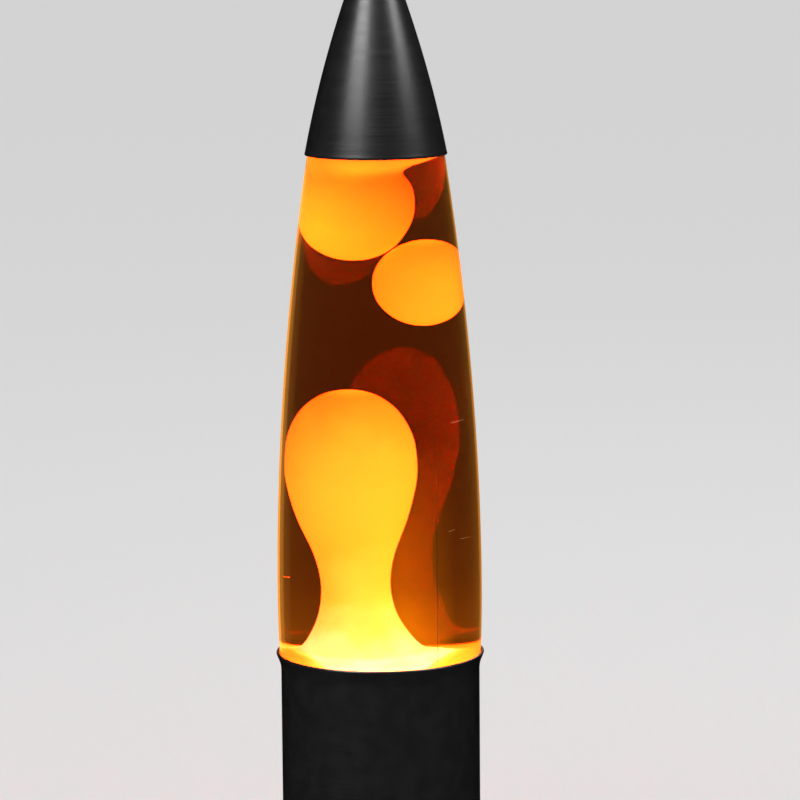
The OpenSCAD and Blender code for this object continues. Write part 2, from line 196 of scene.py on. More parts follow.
def sweep(path, r, sides=6):
    """A closed tube of radius r along a path of points."""
    rings = []
    for i, p in enumerate(path):
        ahead = Vector(path[min(i + 1, len(path) - 1)]) - Vector(path[max(i - 1, 0)])
        side = ahead.orthogonal().normalized()
        up = ahead.cross(side).normalized()
        rings.append([tuple(Vector(p) + r * (math.cos(a) * side + math.sin(a) * up))
                      for a in (2 * math.pi * k / sides for k in range(sides))])
    return loft_mesh([[tuple(path[0])]] + rings + [[tuple(path[-1])]])


def spline(points, per=8):
    """A Catmull-Rom curve through tuples of numbers."""
    out = []
    for i in range(len(points) - 1):
        p = [points[max(i - 1, 0)], points[i], points[i + 1], points[min(i + 2, len(points) - 1)]]
        for k in range(per):
            t = k / per
            out.append(tuple(
                0.5 * (2 * b + (c - a) * t + (2 * a - 5 * b + 4 * c - d) * t * t
                       + (3 * b - a - 3 * c + d) * t ** 3)
                for a, b, c, d in zip(*p)))
    out.append(points[-1])
    return out


def cut(obj, cutter):
    """Takes cutter away from obj, and removes cutter."""
    modifier = obj.modifiers.new("cut", "BOOLEAN")
    modifier.object = cutter
    modifier.solver = "EXACT"
    bpy.context.view_layer.update()
    result = bpy.data.meshes.new_from_object(obj.evaluated_get(bpy.context.evaluated_depsgraph_get()))
    obj.modifiers.clear()
    obj.data = result
    bpy.data.objects.remove(cutter)


# ---- Materials ---------------------------------------------------------------------------------

def material(name, **values):
    mat = bpy.data.materials.new(name)
    mat.use_nodes = True
    shader = mat.node_tree.nodes["Principled BSDF"]
    for key, value in values.items():
        shader.inputs[key.replace("_", " ")].default_value = value
    return mat, mat.node_tree, shader


def node(tree, kind, **values):
    made = tree.nodes.new("ShaderNode" + kind)
    for key, value in values.items():
        if key[0].islower():
            setattr(made, key, value)
        else:
            made.inputs[key.replace("_", " ")].default_value = value
    return made


def remap(tree, value, from_low, from_high, to_low, to_high):
    made = node(tree, "MapRange", From_Min=from_low, From_Max=from_high, To_Min=to_low, To_Max=to_high)
    tree.links.new(value, made.inputs["Value"])
    return made.outputs["Result"]


def product(tree, a, b):
    made = node(tree, "Math", operation="MULTIPLY")
    tree.links.new(a, made.inputs[0])
    tree.links.new(b, made.inputs[1])
    return made.outputs[0]


def grain(tree, size, stretch=(1, 1, 1), detail=3.0):
    """Noise whose features are about size metres across, finer along an axis with a larger stretch."""
    place = node(tree, "TexCoord")
    mapping = node(tree, "Mapping", Scale=stretch)
    noise = node(tree, "TexNoise", Scale=1 / size, Detail=detail)
    tree.links.new(place.outputs["Object"], mapping.inputs["Vector"])
    tree.links.new(mapping.outputs["Vector"], noise.inputs["Vector"])
    return noise.outputs["Fac"]


def blend_colours(tree, fac, a, b):
    mix = node(tree, "Mix", data_type="RGBA")
    tree.links.new(fac, mix.inputs["Factor"])
    mix.inputs[6].default_value = (*a, 1)
    mix.inputs[7].default_value = (*b, 1)
    return mix.outputs[2]


def surface(name, colour, second, roughness, size, bump, stretch=(1, 1, 1), **values):
    """A finish with two colours mottled together, uneven roughness and a fine relief.

    roughness is a (low, high) pair, size the width of the mottling and bump the depth of the relief.
    """
    mat, tree, shader = material(name, **values)
    link = tree.links.new
    mottle = remap(tree, grain(tree, size), 0.35, 0.65, 0, 1)
    link(blend_colours(tree, mottle, colour, second), shader.inputs["Base Color"])
    link(remap(tree, grain(tree, size / 3, stretch), 0.35, 0.65, *roughness), shader.inputs["Roughness"])
    relief = node(tree, "Bump", Strength=1.0, Distance=bump)
    link(grain(tree, size / 8, stretch), relief.inputs["Height"])
    link(relief.outputs["Normal"], shader.inputs["Normal"])
    return mat


SPUN = (0.05, 0.05, 12)
MATERIALS = {
    "black_metal": surface("black_metal", (0.0095, 0.0095, 0.0105), (0.0135, 0.0135, 0.015), (0.28, 0.4),
                           6 * MM, 0.006 * MM, SPUN, Specular_IOR_Level=0.7),
    "plate_metal": surface("plate_metal", (0.03, 0.03, 0.032), (0.045, 0.045, 0.046), (0.38, 0.55),
                           5 * MM, 0.02 * MM, Metallic=0.3),
    "zinc_steel": surface("zinc_steel", (0.55, 0.56, 0.58), (0.68, 0.68, 0.67), (0.25, 0.42),
                          3 * MM, 0.008 * MM, Metallic=0.45),
    "seat_steel": surface("seat_steel", (0.5, 0.5, 0.51), (0.62, 0.61, 0.6), (0.22, 0.4),
                          5 * MM, 0.01 * MM, (8, 8, 0.2), Metallic=0.45),
    "foot_rubber": surface("foot_rubber", (0.014, 0.014, 0.014), (0.026, 0.025, 0.024), (0.75, 0.92),
                           2 * MM, 0.03 * MM, Specular_IOR_Level=0.3),
    "grommet": surface("grommet", (0.012, 0.012, 0.013), (0.02, 0.02, 0.02), (0.4, 0.52),
                       2 * MM, 0.012 * MM),
    "gasket": surface("gasket", (0.42, 0.36, 0.28), (0.52, 0.46, 0.37), (0.55, 0.75),
                      1.5 * MM, 0.03 * MM, Subsurface_Weight=0.1, Subsurface_Scale=0.002),
    "holder_plastic": surface("holder_plastic", (0.018, 0.012, 0.009), (0.03, 0.02, 0.015), (0.22, 0.34),
                              3 * MM, 0.012 * MM, Coat_Weight=0.3, Coat_Roughness=0.15),
    "brass": surface("brass", (0.72, 0.5, 0.2), (0.6, 0.38, 0.15), (0.2, 0.36),
                     2 * MM, 0.006 * MM, Metallic=0.5),
    "bulb_nickel": surface("bulb_nickel", (0.72, 0.7, 0.64), (0.6, 0.58, 0.53), (0.2, 0.34),
                           2 * MM, 0.008 * MM, Metallic=0.5),
    "insulator": surface("insulator", (0.01, 0.01, 0.012), (0.018, 0.018, 0.02), (0.08, 0.16),
                         2 * MM, 0.01 * MM),
    "stem_glass": surface("stem_glass", (0.66, 0.7, 0.7), (0.6, 0.65, 0.65), (0.05, 0.12),
                          3 * MM, 0.004 * MM, Coat_Weight=0.3),
    "solder": surface("solder", (0.62, 0.61, 0.58), (0.48, 0.47, 0.45), (0.3, 0.5),
                      1 * MM, 0.03 * MM, Metallic=0.5),
    "filament": surface("filament", (0.3, 0.3, 0.31), (0.22, 0.22, 0.23), (0.35, 0.5),
                        1 * MM, 0.004 * MM, Metallic=0.6),
    "coil_steel": surface("coil_steel", (0.58, 0.58, 0.57), (0.46, 0.45, 0.44), (0.25, 0.4),
                          1 * MM, 0.006 * MM, Metallic=0.5),
    "crown_tin": surface("crown_tin", (0.66, 0.48, 0.2), (0.61, 0.43, 0.175), (0.24, 0.32),
                         12 * MM, 0.003 * MM, Metallic=0.4, Coat_Weight=0.4, Coat_Roughness=0.1),
    "liner": surface("liner", (0.62, 0.6, 0.55), (0.54, 0.52, 0.48), (0.45, 0.6), 1.5 * MM, 0.01 * MM),
    "reflector": surface("reflector", (0.74, 0.73, 0.7), (0.62, 0.6, 0.57), (0.14, 0.26),
                         6 * MM, 0.01 * MM, Metallic=0.5),
    # The droplets' emission is a painted glow of the bulb's light.
    "droplet": surface("droplet", (0.9, 0.35, 0.03), (0.8, 0.28, 0.02), (0.35, 0.5), 1 * MM, 0.002 * MM,
                       Emission_Color=(1.0, 0.4, 0.06, 1), Emission_Strength=5.0),
    "scratch": surface("scratch", (0.5, 0.3, 0.16), (0.6, 0.4, 0.24), (0.5, 0.7), 1 * MM, 0.002 * MM),
    "seam": surface("seam", (0.03, 0.012, 0.003), (0.05, 0.02, 0.005), (0.3, 0.45), 1 * MM, 0.002 * MM),
}


def dress(obj, *mats):
    obj.data.materials.clear()
    for mat in mats:
        obj.data.materials.append(mat)


GLASS_TINT = (0.36, 0.22, 0.1, 1)


def height_value(tree):
    """A value that runs from 0 at the base's rim to 1 at the cap's edge, and stops there."""
    place = node(tree, "TexCoord")
    split = node(tree, "SeparateXYZ")
    tree.links.new(place.outputs["Object"], split.inputs["Vector"])
    return remap(tree, split.outputs["Z"], RIM_Z, CAP_EDGE_Z, 0, 1)


def colour_ramp(tree, value, stops, top):
    """Colours along a value. stops are (position, colour) pairs, and colours are divided by top."""
    ramp = node(tree, "ValToRGB")
    while len(ramp.color_ramp.elements) < len(stops):
        ramp.color_ramp.elements.new(0.5)
    for element, (at, colour) in zip(ramp.color_ramp.elements, stops):
        element.position = at
        element.color = (*[c / top for c in colour], 1)
    tree.links.new(value, ramp.inputs["Fac"])
    return ramp.outputs["Color"]


def glass_outer_material():
    """Clear glass, which the glow from inside tints, with a warm sheen towards its edges."""
    return material("glass_outer", Base_Color=GLASS_TINT, Roughness=0.0, IOR=1.5,
                    Transmission_Weight=1.0, Sheen_Weight=0.8, Sheen_Roughness=0.3,
                    Sheen_Tint=(1.0, 0.4, 0.05, 1))[0]


def glass_inner_material():
    """The wall that the liquid wets. Its emission is a painted glow of the lit wax: faint near the wax at
    the bottom, and more in front on the right of the column, which leans to the left and leaves the bulb's
    light a way past it."""
    mat, tree, shader = material("glass_inner", Base_Color=GLASS_TINT, Roughness=0.0, IOR=1.103,
                                 Transmission_Weight=1.0, Emission_Strength=1.0)
    stops = [(0.0, (0.23, 0.085, 0.002)), (0.05, (0.15, 0.055, 0.0)), (0.16, (0.055, 0.02, 0.0)),
             (0.45, (0.0, 0.0, 0.0))]
    # Painted glow on the wall, strongest just above the base's rim and gone before half way up.
    painted_wall_glow = colour_ramp(tree, height_value(tree), stops, 1.0)
    place = node(tree, "TexCoord")
    split = node(tree, "SeparateXYZ")
    tree.links.new(place.outputs["Object"], split.inputs["Vector"])
    # Painted light: up to eight times more glow on the front wall to the right of the column.
    beside = product(tree, remap(tree, split.outputs["X"], -4 * MM, 5 * MM, 0, 1),
                     remap(tree, split.outputs["X"], 9 * MM, 27 * MM, 1, 0))
    beside = product(tree, beside, remap(tree, split.outputs["Y"], 0, -10 * MM, 0, 1))
    painted_light_gain = node(tree, "VectorMath", operation="SCALE")
    tree.links.new(painted_wall_glow, painted_light_gain.inputs[0])
    tree.links.new(remap(tree, beside, 0, 1, 1, 8.0), painted_light_gain.inputs["Scale"])
    tree.links.new(painted_light_gain.outputs["Vector"], shader.inputs["Emission Color"])
    return mat


def liquid_material():
    """Dyed liquid. Its absorption is given per metre for each colour."""
    mat, tree, _ = material("liquid", Base_Color=(1, 1, 1, 1), Roughness=0.0, IOR=1.0,
                                 Transmission_Weight=1.0)
    volume = node(tree, "VolumeAbsorption")
    red, green, blue = 5.0, 20.0, 30.0
    volume.inputs["Density"].default_value = blue
    volume.inputs["Color"].default_value = (1 - red / blue, 1 - green / blue, 0, 1)
    tree.links.new(volume.outputs["Volume"], tree.nodes["Material Output"].inputs["Volume"])
    return mat


# The wax's emission is a painted glow that stands for the bulb's light in the wax: paler and brighter low
# down, orange higher up.
PAINTED_WAX_GLOW_PEAK = 36
PAINTED_WAX_GLOW_STOPS = [(0.0, (36, 13, 10)), (0.06, (35, 9.6, 3.6)), (0.12, (34, 7.4, 1.4)), (0.22, (32, 5.0, 0.6)),
             (0.4, (30, 4.4, 0.5)), (0.52, (28, 3.2, 0.3)), (0.72, (26, 2.9, 0.24)), (0.85, (24, 3.3, 0.24)),
             (0.94, (24, 2.8, 0.22)), (1.0, (24, 2.0, 0.2))]


def wax_material(name, light, shade, pool=0.0, back=1.0):
    """Lit wax, whose light is painted as emission: bright and pale low down, orange higher up.

    The side that faces the light is painted yellower, and shade says how far the painted shade on the other
    side falls off. Level tops get a painted highlight, a paler rim.
    pool is how much farther up the colours the wax of the pool is, beside the column's foot: painted shade
    away from the bulb's axis.
    back is how much brighter the low wax is on the far side, next to the bulb's hottest place: a painted
    light.
    """
    mat, tree, shader = material(name, Base_Color=(0.9, 0.35, 0.03, 1), Roughness=0.4,
                                 Emission_Strength=PAINTED_WAX_GLOW_PEAK)
    link = tree.links.new
    place = node(tree, "TexCoord")
    height = height_value(tree)
    cloud = node(tree, "Math", operation="ADD")
    link(height, cloud.inputs[0])
    link(remap(tree, grain(tree, 12 * MM), 0.3, 0.7, -0.025, 0.025), cloud.inputs[1])
    level = cloud.outputs[0]
    # Painted shade: the pool's wax away from the bulb's axis is moved up the colours, dimmer and oranger.
    if pool:
        around = node(tree, "Mapping", Location=(1.5 * MM, 0, 0), Scale=(1, 0.6, 0))
        link(place.outputs["Object"], around.inputs["Vector"])
        radius = node(tree, "VectorMath", operation="LENGTH")
        link(around.outputs["Vector"], radius.inputs[0])
        beside = product(tree, remap(tree, radius.outputs["Value"], 20 * MM, 26 * MM, 0, pool),
                         remap(tree, height, 0, 0.03, 1, 0.2))
        total = node(tree, "Math", operation="ADD")
        link(level, total.inputs[0])
        link(beside, total.inputs[1])
        level = total.outputs[0]
    # Painted shade: the wax's emission is dimmed and made oranger on the side turned from the light
    # direction; level tops get a painted highlight, a paler rim.
    facing = node(tree, "VectorMath", operation="DOT_PRODUCT")
    link(place.outputs["Normal"], facing.inputs[0])
    facing.inputs[1].default_value = Vector(light).normalized()
    painted_rim_normal = node(tree, "SeparateXYZ")
    link(place.outputs["Normal"], painted_rim_normal.inputs["Vector"])
    painted_shade = product(tree, remap(tree, facing.outputs["Value"], -1.0, 0.9, 1.0 - shade, 1.0),
                   remap(tree, painted_rim_normal.outputs["Z"], 0.86, 1.0, 1.0, 1.7))
    painted_shade_tint = node(tree, "CombineColor", Red=1.0)
    link(painted_shade, painted_shade_tint.inputs["Green"])
    link(painted_shade, painted_shade_tint.inputs["Blue"])
    mix = node(tree, "Mix", data_type="RGBA", blend_type="MULTIPLY", Factor=1.0)
    link(colour_ramp(tree, level, PAINTED_WAX_GLOW_STOPS, PAINTED_WAX_GLOW_PEAK), mix.inputs[6])
    link(painted_shade_tint.outputs["Color"], mix.inputs[7])
    painted_wax_light = mix.outputs[2]
    # Painted light: low wax facing the far side is made brighter and yellower.
    if back > 1:
        rear = node(tree, "VectorMath", operation="DOT_PRODUCT")
        rear.inputs[1].default_value = (0, 1, 0)
        link(place.outputs["Normal"], rear.inputs[0])
        painted_hot_mask = product(tree, remap(tree, rear.outputs["Value"], 0.1, 0.8, 0, 1),
                      remap(tree, height, 0.05, 0.4, 1, 0))
        painted_light_gain = node(tree, "CombineXYZ", Z=1.0)
        link(remap(tree, painted_hot_mask, 0, 1, 1, back), painted_light_gain.inputs["X"])
        link(remap(tree, painted_hot_mask, 0, 1, 1, 1.5 * back), painted_light_gain.inputs["Y"])
        painted_back_boost = node(tree, "VectorMath", operation="MULTIPLY")
        link(painted_wax_light, painted_back_boost.inputs[0])
        link(painted_light_gain.outputs["Vector"], painted_back_boost.inputs[1])
        painted_wax_light = painted_back_boost.outputs["Vector"]
    link(painted_wax_light, shader.inputs["Emission Color"])
    return mat


def bulb_dome_material():
    """Frosted glass of a lit bulb, brightest in the middle of its dome."""
    mat, tree, shader = material("bulb_dome", Base_Color=(0.8, 0.76, 0.7, 1), Roughness=0.5,
                                 Emission_Strength=1.0)
    place = node(tree, "TexCoord")
    split = node(tree, "SeparateXYZ")
    tree.links.new(place.outputs["Object"], split.inputs["Vector"])
    level = remap(tree, split.outputs["Z"], BULB_WIDE_Z, BULB_TOP_Z, 0, 1)
    cloud = node(tree, "Math", operation="ADD")
    tree.links.new(level, cloud.inputs[0])
    tree.links.new(remap(tree, grain(tree, 8 * MM), 0.3, 0.7, -0.04, 0.04), cloud.inputs[1])
    stops = [(0.0, (0.35, 0.14, 0.04)), (0.5, (0.62, 0.32, 0.12)), (0.85, (0.9, 0.58, 0.27)),
             (1.0, (1.0, 0.75, 0.42))]
    tree.links.new(colour_ramp(tree, cloud.outputs[0], stops, 1.0), shader.inputs["Emission Color"])
    return mat


# ---- Pieces: the bottle and what it holds --------------------------------------------------------

SEAM_TURNS = (303.75, 123.75)
SEAM_RISE = 0.09 * MM


def seam(a):
    """How far the glass stands out at angle a: the two mould seams are a little proud of the rest."""
    return sum(SEAM_RISE for turn in SEAM_TURNS if abs(math.degrees(a) - turn) < 0.6)


def bottle():
    heel = arc(27.5 * MM, BOTTLE_FLOOR_Z + 4 * MM, 4 * MM, -90, -5, 8)
    zs = steps(BOTTLE_FLOOR_Z + 5 * MM, RIM_Z, 6)[:-1] + steps(RIM_Z, CAP_EDGE_Z, 70)[:-1]
    zs += steps(CAP_EDGE_Z, FINISH_Z, 12)[:-1] + steps(FINISH_Z, MOUTH_Z - 0.6 * MM, 3)
    mouth = arc(FINISH_R - 1.2 * MM, MOUTH_Z - 1.2 * MM, 1.2 * MM, 0, 90) + [(FINISH_R - GLASS_T, MOUTH_Z)]
    floor_z = BOTTLE_FLOOR_Z + 6.5 * MM
    inner = [(cavity_r(z), z) for z in reversed(zs) if z > floor_z]
    inner += [(26 * MM, BOTTLE_FLOOR_Z + 4 * MM), (0, BOTTLE_FLOOR_Z + 6 * MM)]
    punt = [(0, BOTTLE_FLOOR_Z + 3 * MM), (20 * MM, BOTTLE_FLOOR_Z + 0.6 * MM), (22 * MM, BOTTLE_FLOOR_Z)]
    rings = [ring(r, z) for r, z in heel]
    rings += [ring(bottle_r(z), z, shape=seam) for z in zs]
    rings += [ring(r, z) for r, z in mouth + inner + punt]
    return new_object("bottle", *loft_mesh(rings, closed=True))


def liquid():
    gap = 0.03 * MM
    zs = steps(WAX_LEVEL_Z, CAP_EDGE_Z, 70)[:-1] + steps(CAP_EDGE_Z, LIQUID_TOP_Z, 8)
    outline = [(0, WAX_LEVEL_Z)] + [(cavity_r(z) - gap, z) for z in zs] + [(0, LIQUID_TOP_Z)]
    return new_object("liquid", *turned(outline, closed=False))


def wax_body(name, stations, per=8):
    """A round wax shape from stations of (height, centre x, radius) in millimetres."""
    rings = [ring(max(r, 0) * MM, z * MM, x * MM, sides=96) for z, x, r in spline(stations, per)]
    return new_object(name, *loft_mesh(rings), angle=80)


def column():
    floor_z = BOTTLE_FLOOR_Z / MM
    pool = WAX_LEVEL_Z / MM
    wall = cavity_r(WAX_LEVEL_Z) / MM - 0.15
    return wax_body("column_wax", [
        (floor_z + 6.6, 0, 0), (floor_z + 4.8, 0, 24), (floor_z + 8, 0, wall - 4.5),
        (pool - 0.6, 0, wall), (pool - 0.1, 0, wall - 0.5), (pool, -1, wall - 6),
        (117.5, -3, 22), (120, -4.7, 16.5), (128, -5.6, 12.2), (136, -6.2, 10.0), (145, -6.6, 9.5),
        (155, -7.0, 11.1), (168, -7.6, 15.3), (180, -7.9, 17.9), (188, -7.9, 18.3), (198, -7.9, 17.2),
        (207, -7.9, 13.6), (212.6, -7.9, 8.7), (215, -7.9, 4), (215.5, -7.9, 0)])


def round_blob():
    x, z = 13.2 * MM, 254.5 * MM
    r, half_height = 14.5 * MM, 15.6 * MM
    rings = [ring(r * math.sin(a), z - half_height * math.cos(a), x, sides=96)
             for a in steps(0, math.pi, 48)]
    rings[0], rings[-1] = rings[0][:1], rings[-1][:1]
    return new_object("round_blob_wax", *loft_mesh(rings), angle=80)


def top_wax():
    return wax_body("top_wax", [
        (263, -6.6, 0), (263.7, -6.6, 4.7), (266, -6.7, 9.3), (270, -6.8, 13.1), (277, -6.7, 16.2),
        (284.4, -6.4, 16.8), (290, -6.3, 15.6), (294.5, -6.4, 13.6), (297, -5, 14.4), (299.2, -1.6, 17.6),
        (300.8, 0.4, 19.6), (303, 0.8, 20.3), (305.5, 0.6, 19.8), (308.5, 0.3, 18.4), (311.5, 0, 15),
        (314, 0, 8.5), (315, 0, 0)])


def droplets():
    """Specks of wax that hang in the liquid, most of them low down."""
    spread = random.Random(11)
    parts = []
    for _ in range(16):
        z = RIM_Z + (22 + 80 * spread.random() ** 1.5) * MM
        a = math.radians(spread.uniform(0, 360))
        r = cavity_r(z) - spread.uniform(1.0, 3.5) * MM
        size = spread.uniform(0.05, 0.13) * MM
        rings = [ring(size * math.sin(t), z - size * math.cos(t), r * math.cos(a), r * math.sin(a), sides=8)
                 for t in steps(0, math.pi, 6)]
        rings[0], rings[-1] = rings[0][:1], rings[-1][:1]
        parts.append(loft_mesh(rings))
    return new_object("droplets", *join(*parts), angle=80)


def seams():
    """The mould seams, as fine dark lines along the crests of their ridges, which die out upwards."""
    start_z, end_z = RIM_Z + 1.5 * MM, RIM_Z + 100 * MM
    fade = 60 * MM
    thickness = 0.12 * MM
    parts = []
    for turn in SEAM_TURNS:
        a = math.radians(turn)
        rings = []
        for z in steps(start_z, end_z, 80):
            size = thickness * min(1, (end_z - z) / fade)
            low_r = bottle_r(z) + SEAM_RISE / 3
            crest_r = low_r + size
            half = size / low_r
            rings.append([(r * math.cos(a + beside), r * math.sin(a + beside), z)
                          for r, beside in ((low_r, -half), (crest_r, 0), (low_r, half))])
        rings[-1] = rings[-1][1:2]
        parts.append(loft_mesh([rings[0][1:2]] + rings))
    return new_object("seams", *join(*parts), angle=80)


def scratches():
    """Short fine scratches on the outside of the glass: (turn, height, length in degrees, rise)."""
    marks = [(318, 206, 13, 0.3), (322, 163, 9, -0.2), (312, 166.5, 5, 0.4), (232, 135, 5, 0.9),
             (100, 180, 12, 0.5), (60, 220, 8, 0.4), (170, 150, 9, 1.2)]
    parts = []
    for turn, z, length, rise in marks:
        path = []
        for t in steps(0, 1, 8):
            a = math.radians(turn + length * t)
            h = (z + rise * t) * MM
            r = bottle_r(h) + 0.01 * MM
            path.append((r * math.cos(a), r * math.sin(a), h))
        parts.append(sweep(path, 0.03 * MM))
    return new_object("glass_scratches", *join(*parts))


# ---- Pieces: the closure and the cap -------------------------------------------------------------

def crown():
    """Pressed closure: a flat top, a rolled shoulder and a skirt with 21 flutes."""
    flutes = 21
    sides = 12 * flutes
    top = high("crown_cap")[2]
    edge = low("crown_cap")[2]
    wall = 0.35 * MM
    roll = 1.6 * MM
    roll_centre_r = 11.4 * MM
    shoulder_r = 13.05 * MM
    skirt_r = high("crown_cap")[0] - 0.5 * MM

    def layer(inset):
        crown_top = top - inset
        shoulder_z = crown_top - roll
        rings = [[(0, 0, crown_top)]]
        rings += [ring(r, crown_top, sides=sides) for r in (9 * MM, 11.2 * MM)]
        for r, z in arc(roll_centre_r, shoulder_z, roll, 80, 10, 6):
            rings.append(ring(r, z, sides=sides))
        for t in steps(0.15, 1, 8):
            z = shoulder_z + (edge - shoulder_z) * t
            r = shoulder_r + (skirt_r - shoulder_r) * t ** 1.4 - inset
            depth = 0.5 * MM * t
            rings.append(ring(r, z, sides=sides, shape=lambda a: depth * math.cos(flutes * a)))
        return rings

    return new_object("crown", *loft_mesh(layer(wall)[::-1] + layer(0)), angle=50)


CAP_WALL_TOP_Z = CAP_TOP_Z - 2 * MM
CAP_TIP_R = 8.6 * MM
CAP_SLOPE = 0.19


def cap_r(z):
    u = z - CAP_EDGE_Z
    full = CAP_WALL_TOP_Z - CAP_EDGE_Z
    return CAP_R - CAP_SLOPE * u - (CAP_R - CAP_SLOPE * full - CAP_TIP_R) * (u / full) ** 2


def cap():
    wall = 0.6 * MM
    hem = arc(CAP_R - 0.45 * MM, CAP_EDGE_Z + 0.45 * MM, 0.45 * MM, -180, 0, 8)
    zs = steps(CAP_EDGE_Z + 1.2 * MM, CAP_WALL_TOP_Z, 60)
    outer = [(cap_r(z), z) for z in zs]
    corner = arc(CAP_TIP_R - 2 * MM, CAP_WALL_TOP_Z, 2 * MM, 10, 90, 8)
    inner = [(cap_r(z) - wall, z) for z in reversed(zs)]
    outline = hem + outer + corner + [(0, CAP_TOP_Z), (0, CAP_TOP_Z - wall),
                                      (CAP_TIP_R - 2.5 * MM, CAP_TOP_Z - wall)] + inner
    return new_object("cap", *turned(outline))


# ---- Pieces: the base ------------------------------------------------------------------------------

SKIRT_TOP_Z = 62 * MM
SHELL_T = 0.8 * MM
INLET_Z = 15 * MM


def skirt_r(z):
    if z > SKIRT_TOP_Z:
        return SLEEVE_R
    return SLEEVE_R + (FOOT_R - SLEEVE_R) * ((SKIRT_TOP_Z - z) / (SKIRT_TOP_Z - FOOT_Z)) ** 2


def inlet_matrix():
    """The cord's inlet sits square to the sloping wall at the back."""
    slope = 2 * (FOOT_R - SLEEVE_R) * (SKIRT_TOP_Z - INLET_Z) / (SKIRT_TOP_Z - FOOT_Z) ** 2
    place = Matrix.Translation((0, skirt_r(INLET_Z), INLET_Z))
    return place @ Matrix.Rotation(math.atan(slope) - math.pi / 2, 4, "X")


def base():
    lip_foot = RIM_Z - 7 * MM
    bead = 0.55 * MM
    hem = arc(FOOT_R - 0.5 * MM, FOOT_Z + 0.5 * MM, 0.5 * MM, -90, 0, 5)
    wall = [(skirt_r(z), z) for z in steps(FOOT_Z + 1.5 * MM, SKIRT_TOP_Z, 40) + steps(70 * MM, lip_foot, 8)]
    flare = [(SLEEVE_R + (LIP_R - bead - SLEEVE_R + 0.2 * MM) * t * t, lip_foot + 5.4 * MM * t)
             for t in steps(0.15, 1, 8)]
    lip = arc(LIP_R - bead, RIM_Z - bead, bead, -40, 180, 12)
    throat = [(SLEEVE_R - SHELL_T + (LIP_R - 2 * bead - SLEEVE_R + SHELL_T) * t * t, lip_foot + 5.4 * MM * t)
              for t in steps(1, 0, 6)]
    back = [(r - SHELL_T, z) for r, z in reversed(wall)]
    flange = [(FOOT_R - 7.5 * MM, FOOT_Z + SHELL_T), (FOOT_R - 7.5 * MM, FOOT_Z)]
    obj = new_object("base", *turned(hem + wall + flare + lip + throat + back + flange))
    drill = [(0, -6 * MM), (5 * MM, -6 * MM), (5 * MM, 6 * MM), (0, 6 * MM)]
    cut(obj, new_object("drill", *placed(turned(drill, closed=False, sides=48), inlet_matrix())))
    return obj


def grommet():
    """Flanged bush with a ribbed collar on the outside."""
    bore, body, flange = 3.2 * MM, 4.95 * MM, 6.2 * MM
    outline = [(bore, -3.0 * MM), (bore + 0.4 * MM, -3.4 * MM)]
    outline += arc(flange - 0.5 * MM, -2.9 * MM, 0.5 * MM, -90, 0, 4)
    outline += [(flange, -1.7 * MM), (body, -1.65 * MM), (body, 0.2 * MM), (flange, 0.2 * MM)]
    outline += arc(flange - 0.7 * MM, 0.9 * MM, 0.7 * MM, 0, 80, 5)
    outline += [(body + 0.1 * MM, 1.6 * MM)] + arc(bore + 0.6 * MM, 1.1 * MM, 0.5 * MM, 80, 180, 5)
    return new_object("grommet", *placed(turned(outline, sides=64), inlet_matrix()))


def feet():
    """Four moulded feet, each with a shallow cup underneath that grips the table."""
    height = high("rubber_feet")[2]
    ring_r = FOOT_R - 11 * MM
    outline = [(0, 0.7 * MM), (3.6 * MM, 0.6 * MM), (4.3 * MM, 0.1 * MM)]
    outline += arc(5.0 * MM, 0.6 * MM, 0.6 * MM, -90, 0, 5) + [(6 * MM, 1.4 * MM)]
    outline += arc(5.6 * MM, height - 0.4 * MM, 0.4 * MM, 0, 90, 4) + [(0, height)]
    one = turned(outline, closed=False, sides=48)
    parts = []
    for i in range(4):
        turn = Matrix.Rotation(math.radians(45 + 90 * i), 4, "Z")
        parts.append(placed(one, turn @ Matrix.Translation((ring_r, 0, 0))))
    return new_object("feet", *join(*parts))


def seat():
    """Pressed seat that carries the bottle: a turned-down skirt, a stiffening bead and a round opening."""
    outer = high("bottle_seat")[0]
    bottom, top = low("bottle_seat")[2], high("bottle_seat")[2]
    opening = 23.5 * MM
    upper = [(outer, bottom + 0.3 * MM)] + arc(outer - 1.4 * MM, top - 1.4 * MM, 1.4 * MM, 0, 90, 6)
    bead = [(r * MM, top - depth * MM)
            for r, depth in ((32.6, 0), (32.2, 0.25), (31.7, 0.4), (31.2, 0.25), (30.8, 0))]
    edge = arc(opening + 0.5 * MM, top - 0.5 * MM, 0.5 * MM, 90, 270, 8)
    under = [(outer - 2 * MM, top - 1 * MM), (outer - 1 * MM, top - 2 * MM),
             (outer - 1 * MM, bottom + 0.3 * MM), (outer - 0.5 * MM, bottom)]
    return new_object("seat", *turned(upper + bead + edge + under))


def gasket():
    outer, inner = high("seat_gasket")[0], 23.7 * MM
    bottom, top = low("seat_gasket")[2], high("seat_gasket")[2]
    r = (top - bottom) / 2
    outline = arc(outer - r, bottom + r, r, -80, 80, 6)
    for at in (28.6, 27.2, 25.8):
        outline += [((at + 0.3) * MM, top), (at * MM, top - 0.2 * MM), ((at - 0.3) * MM, top)]
    outline += arc(inner + r, bottom + r, r, 100, 260, 6)
    return new_object("gasket", *turned(outline))


# ---- Pieces: the bulb --------------------------------------------------------------------------------

BULB_R = high("bulb_glass")[0]
BULB_TOP_Z = high("bulb_glass")[2]
BULB_NECK_Z = low("bulb_glass")[2]
BULB_NECK_R = 7.9 * MM
BULB_WIDE_Z = 67 * MM


